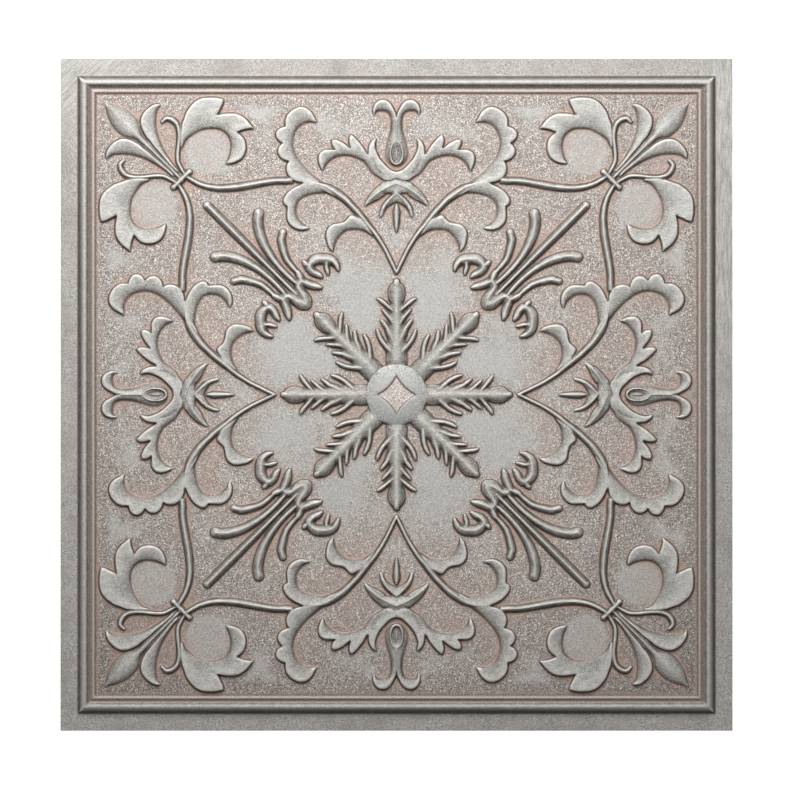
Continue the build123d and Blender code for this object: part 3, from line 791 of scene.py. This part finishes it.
# Metal flakes in a matt binder, with a fine grain, and lumps on what stands up.
tree.links.new(colour, shader.inputs["Base Color"])
shader.inputs["Metallic"].default_value = 0.2
shader.inputs["Roughness"].default_value = 0.56
lumps = times(noise(260, 2), ramp(raised_by, 1.2, 2.6, 0.0, 2.5))
bump = add(tree, "ShaderNodeBump", {
    "Strength": 0.6, "Distance": 0.0004, "Height": math_node(tree, "ADD", grain, lumps)})
tree.links.new(bump.outputs[0], shader.inputs["Normal"])

# The eighth is mirrored over the diagonal, set four times round the centre and welded.
QUARTERS = 4
WELD_DISTANCE = 0.00002
SHARP_ANGLE = math.radians(65)

around = bpy.data.node_groups.new("mirror round", "GeometryNodeTree")
around.interface.new_socket("Geometry", in_out="INPUT", socket_type="NodeSocketGeometry")
count_socket = around.interface.new_socket("Quarters", in_out="INPUT", socket_type="NodeSocketInt")
weld_socket = around.interface.new_socket("Weld distance", in_out="INPUT", socket_type="NodeSocketFloat")
paint_socket = around.interface.new_socket("Paint", in_out="INPUT", socket_type="NodeSocketMaterial")
around.interface.new_socket("Geometry", in_out="OUTPUT", socket_type="NodeSocketGeometry")
given = around.nodes.new("NodeGroupInput").outputs
flipped = add(around, "GeometryNodeTransform", {
    "Geometry": given["Geometry"], "Rotation": (0, 0, -math.pi / 2), "Scale": (-1, 1, 1)}).outputs[0]
flipped = add(around, "GeometryNodeFlipFaces", {"Mesh": flipped}).outputs[0]
quarter = add(around, "GeometryNodeJoinGeometry")
around.links.new(given["Geometry"], quarter.inputs[0])
around.links.new(flipped, quarter.inputs[0])
spots = add(around, "GeometryNodePoints", {"Count": given["Quarters"]}).outputs[0]
index = add(around, "GeometryNodeInputIndex").outputs[0]
share = math_node(around, "DIVIDE", index, given["Quarters"])
angle = math_node(around, "MULTIPLY", share, 2 * math.pi)
turn = add(around, "ShaderNodeCombineXYZ", {2: angle}).outputs[0]
placed = add(around, "GeometryNodeInstanceOnPoints", {
    "Points": spots, "Instance": quarter.outputs[0], "Rotation": turn}).outputs[0]
whole = add(around, "GeometryNodeRealizeInstances", {0: placed}).outputs[0]
whole = add(around, "GeometryNodeMergeByDistance", {
    0: whole, "Distance": given["Weld distance"]}).outputs[0]
whole = add(around, "GeometryNodeSetMaterial", {"Geometry": whole, "Material": given["Paint"]}).outputs[0]
group_output = around.nodes.new("NodeGroupOutput")
around.links.new(whole, group_output.inputs[0])
modifier = eighth.modifiers.new("mirror round", "NODES")
modifier.node_group = around
modifier[count_socket.identifier] = QUARTERS
modifier[weld_socket.identifier] = WELD_DISTANCE
modifier[paint_socket.identifier] = paint
graph = bpy.context.evaluated_depsgraph_get()
panel_mesh = bpy.data.meshes.new_from_object(
    eighth.evaluated_get(graph), preserve_all_data_layers=True, depsgraph=graph)
bpy.data.objects.remove(eighth)
panel_mesh.name = "ceiling_panel"
panel_mesh.polygons.foreach_set("use_smooth", np.ones(len(panel_mesh.polygons), bool))
panel_mesh.set_sharp_from_angle(angle=SHARP_ANGLE)
panel = bpy.data.objects.new("ceiling_panel", panel_mesh)
bpy.context.scene.collection.objects.link(panel)
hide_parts("panel")
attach(panel, "root")

# Scene: a white floor under the panel, one large soft light beyond its top edge, a low fill.
FLOOR_HALF = 3
FLOOR_Z = -0.0002
floor_corners = [(-FLOOR_HALF, -FLOOR_HALF, FLOOR_Z), (FLOOR_HALF, -FLOOR_HALF, FLOOR_Z),
                 (FLOOR_HALF, FLOOR_HALF, FLOOR_Z), (-FLOOR_HALF, FLOOR_HALF, FLOOR_Z)]
floor_mesh = bpy.data.meshes.new("floor")
floor_mesh.from_pydata(floor_corners, [], [(0, 1, 2, 3)])
floor = bpy.data.objects.new("floor", floor_mesh)
bpy.context.scene.collection.objects.link(floor)
white = bpy.data.materials.new("white floor")
white.use_nodes = True
white_shader = white.node_tree.nodes["Principled BSDF"]
white_shader.inputs["Base Color"].default_value = (0.9, 0.9, 0.9, 1)
white_shader.inputs["Roughness"].default_value = 0.9
white_shader.inputs["Emission Color"].default_value = (1, 1, 1, 1)
white_shader.inputs["Emission Strength"].default_value = 0.8
floor_mesh.materials.append(white)


def lamp(name, at, aim, size, power):
    """A soft rectangular light, its place and aim in metres and its power in watts."""
    light = bpy.data.lights.new(name, "AREA")
    light.shape = "RECTANGLE"
    light.size, light.size_y = size
    light.energy = power
    obj = bpy.data.objects.new(name, light)
    obj.location = at
    obj.rotation_euler = (Vector(aim) - Vector(at)).to_track_quat("-Z", "Y").to_euler()
    bpy.context.scene.collection.objects.link(obj)


lamp("window", at=(-0.2, 1.05, 0.85), aim=(0, 0.1, 0), size=(1.2, 0.7), power=27)
lamp("fill", at=(0.3, 1.0, 2.1), aim=(0, 0.2, 0), size=(1.4, 1.4), power=11)

world = bpy.data.worlds.new("studio")
world.use_nodes = True
background = world.node_tree.nodes["Background"]
background.inputs["Color"].default_value = (1, 1, 1, 1)
background.inputs["Strength"].default_value = 0.16
bpy.context.scene.world = world
bpy.context.scene.view_settings.view_transform = "Standard"

# Camera straight above, far off with a long lens, the panel's top edge towards +Y. The scale is
# true at the height of the field.
PHOTO_PIXELS = 800
PANEL_PIXELS = 672.65
CENTRE_PIXEL = (396.5, 394.6)
SENSOR = 36
CAMERA_HEIGHT = 4.0
SCALE_HEIGHT = 0.003
camera_data = bpy.data.cameras.new("camera")
camera_data.sensor_width = SENSOR
view_width = PHOTO_PIXELS * (2 * HALF / PANEL_PIXELS) * MM
camera_data.lens = SENSOR * (CAMERA_HEIGHT - SCALE_HEIGHT) / view_width
camera_data.shift_x = (PHOTO_PIXELS / 2 - CENTRE_PIXEL[0]) / PHOTO_PIXELS
camera_data.shift_y = -(PHOTO_PIXELS / 2 - CENTRE_PIXEL[1]) / PHOTO_PIXELS
camera = bpy.data.objects.new("camera", camera_data)
camera.location = (0, 0, CAMERA_HEIGHT)
bpy.context.scene.collection.objects.link(camera)
bpy.context.scene.camera = camera
